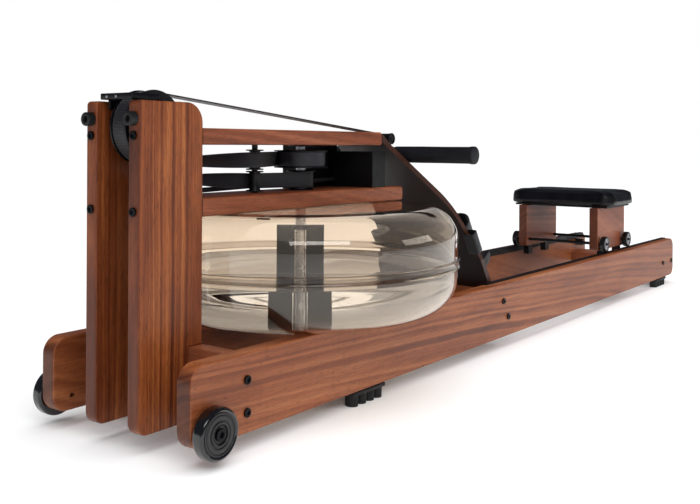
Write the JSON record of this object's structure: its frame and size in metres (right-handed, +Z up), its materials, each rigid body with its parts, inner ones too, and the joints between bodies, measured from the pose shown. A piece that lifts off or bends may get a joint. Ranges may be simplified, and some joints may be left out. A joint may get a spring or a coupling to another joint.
{
  "type": "water rowing machine",
  "caption": "Wooden rowing machine with a water tank flywheel, sliding padded seat, footboard with heel cups, strap drive and pull handle.",
  "frame": {"origin": "centre of the overall base, on the floor", "axes": "+X from the tank and post end to the seat end, +Y to the machine's left side seen from the tank end looking at the seat, +Z up"},
  "size_m": [2.112, 0.568, 0.51],
  "materials": {
    "walnut": "oiled black walnut",
    "tank_shell": "smoke-tinted clear polycarbonate",
    "water": "water",
    "webbing": "woven nylon webbing",
    "cord_rubber": "braided elastic cord",
    "black_plastic": "moulded black nylon",
    "rubber": "moulded rubber",
    "foam": "foam rubber grip",
    "wheel_rubber": "moulded polyurethane",
    "black_steel": "black oxide steel",
    "steel": "ground steel",
    "seat_fabric": "black vinyl"
  },
  "bodies": {
    "frame": {"bungee_anchor": "black_plastic", "bungee_cord": "cord_rubber", "drive_axles": "steel", "drive_cover": "black_plastic", "drive_strap": "webbing", "foot_spacer": "walnut", "foot_straps": "webbing", "footboard": "walnut", "frame_bolts": "black_steel", "front_feet": "rubber", "front_spacer": "walnut", "left_front_post": "walnut", "left_rail": "walnut", "left_track": "black_plastic", "lower_deck": "walnut", "post_bumpers": "rubber", "rear_feet": "rubber", "rear_spacer": "walnut", "recoil_strap": "webbing", "right_front_post": "walnut", "right_rail": "walnut", "right_track": "black_plastic", "seat_stops": "black_plastic", "shaft_bearings": "black_plastic", "strap_guard": "black_plastic", "strap_roller": "black_steel", "tank_cradle": "walnut", "tank_lower_shell": "tank_shell", "tank_seal_ring": "tank_shell", "tank_upper_shell": "tank_shell", "upper_deck": "walnut", "water": "water", "wheel_bolts": "black_steel"},
    "handle": {"handle_bar": "black_steel", "handle_grips": "foam", "handle_clip": "black_plastic", "handle_strap": "webbing"},
    "front_pulley": {"front_pulley": "black_plastic"},
    "recoil_pulley": {"recoil_pulley": "black_plastic"},
    "upper_guide_roller": {"upper_guide_roller": "black_plastic"},
    "lower_guide_roller": {"lower_guide_roller": "black_plastic"},
    "reel": {"drive_reel": "black_plastic", "recoil_reel": "black_plastic"},
    "paddle": {"paddle": "black_plastic", "drive_shaft": "steel"},
    "seat": {"seat_cushion": "seat_fabric", "seat_plate": "black_plastic", "left_seat_leg": "walnut", "right_seat_leg": "walnut", "seat_axles": "steel", "seat_guides": "black_plastic"},
    "left_heel_cup": {"left_heel_cup": "black_plastic"},
    "right_heel_cup": {"right_heel_cup": "black_plastic"},
    "left_transport_wheel": {"left_transport_wheel": "wheel_rubber"},
    "right_transport_wheel": {"right_transport_wheel": "wheel_rubber"},
    "tank_plug": {"tank_plug": "black_plastic"},
    "left_front_seat_wheel": {"left_front_seat_wheel": "wheel_rubber"},
    "left_rear_seat_wheel": {"left_rear_seat_wheel": "wheel_rubber"},
    "right_front_seat_wheel": {"right_front_seat_wheel": "wheel_rubber"},
    "right_rear_seat_wheel": {"right_rear_seat_wheel": "wheel_rubber"}
  },
  "joints": [
    {"name": "handle_pull", "type": "slide", "parent": "frame", "child": "handle", "axis": [0.9848, 0, 0.1736], "range_m": [0, 1.1], "deforming": ["handle_strap"]},
    {"name": "front_pulley_spin", "type": "hinge", "parent": "frame", "child": "front_pulley", "pos_m": [-0.98, 0, 0.455], "axis": [0, 1, 0], "range_deg": [0, 1215]},
    {"name": "reel_spin", "type": "hinge", "parent": "frame", "child": "reel", "pos_m": [-0.624, 0, 0.40529], "axis": [0, 0, 1], "range_deg": [0, 1468]},
    {"name": "upper_guide_spin", "type": "hinge", "parent": "frame", "child": "upper_guide_roller", "pos_m": [-0.746, 0, 0.40529], "axis": [0, 0, 1], "range_deg": [-6246, 0]},
    {"name": "lower_guide_spin", "type": "hinge", "parent": "frame", "child": "lower_guide_roller", "pos_m": [-0.746, 0, 0.36943], "axis": [0, 0, 1], "range_deg": [-3060, 0]},
    {"name": "recoil_pulley_spin", "type": "hinge", "parent": "frame", "child": "recoil_pulley", "pos_m": [-0.98, 0, 0.36943], "axis": [0, 1, 0], "range_deg": [0, 3060]},
    {"name": "paddle_spin", "type": "hinge", "parent": "frame", "child": "paddle", "pos_m": [-0.624, 0, 0.3], "axis": [0, 0, 1], "continuous": true},
    {"name": "seat_slide", "type": "slide", "parent": "frame", "child": "seat", "axis": [1, 0, 0], "range_m": [-0.55, 0.28]},
    {"name": "left_front_wheel_spin", "type": "hinge", "parent": "seat", "child": "left_front_seat_wheel", "pos_m": [0.53, 0.13, 0.1623], "axis": [0, 1, 0], "range_deg": [-1506, 769]},
    {"name": "left_rear_wheel_spin", "type": "hinge", "parent": "seat", "child": "left_rear_seat_wheel", "pos_m": [0.704, 0.13, 0.1623], "axis": [0, 1, 0], "range_deg": [-1506, 769]},
    {"name": "right_front_wheel_spin", "type": "hinge", "parent": "seat", "child": "right_front_seat_wheel", "pos_m": [0.53, -0.13, 0.1623], "axis": [0, 1, 0], "range_deg": [-1506, 769]},
    {"name": "right_rear_wheel_spin", "type": "hinge", "parent": "seat", "child": "right_rear_seat_wheel", "pos_m": [0.704, -0.13, 0.1623], "axis": [0, 1, 0], "range_deg": [-1506, 769]},
    {"name": "left_transport_spin", "type": "hinge", "parent": "frame", "child": "left_transport_wheel", "pos_m": [-1.01, 0.172, 0.047], "axis": [0, 1, 0], "continuous": true},
    {"name": "left_heel_slide", "type": "slide", "parent": "frame", "child": "left_heel_cup", "axis": [-0.5373, 0, 0.8434], "range_m": [-0.02, 0.02]},
    {"name": "right_transport_spin", "type": "hinge", "parent": "frame", "child": "right_transport_wheel", "pos_m": [-1.01, -0.172, 0.047], "axis": [0, 1, 0], "continuous": true},
    {"name": "right_heel_slide", "type": "slide", "parent": "frame", "child": "right_heel_cup", "axis": [-0.5373, 0, 0.8434], "range_m": [-0.02, 0.02]},
    {"name": "plug_lift", "type": "slide", "parent": "frame", "child": "tank_plug", "axis": [0, 0, 1], "range_m": [0, 0.012]}
  ],
  "couplings": [
    {"joint": "front_pulley_spin", "follows": "handle_pull", "rad_per_m": 19.194},
    {"joint": "reel_spin", "follows": "handle_pull", "rad_per_m": 23.202},
    {"joint": "upper_guide_spin", "follows": "handle_pull", "rad_per_m": -99.01},
    {"joint": "lower_guide_spin", "follows": "handle_pull", "rad_per_m": -48.471},
    {"joint": "recoil_pulley_spin", "follows": "handle_pull", "rad_per_m": 48.471},
    {"joint": "left_front_wheel_spin", "follows": "seat_slide", "rad_per_m": 47.619},
    {"joint": "left_rear_wheel_spin", "follows": "seat_slide", "rad_per_m": 47.619},
    {"joint": "right_front_wheel_spin", "follows": "seat_slide", "rad_per_m": 47.619},
    {"joint": "right_rear_wheel_spin", "follows": "seat_slide", "rad_per_m": 47.619}
  ]
}
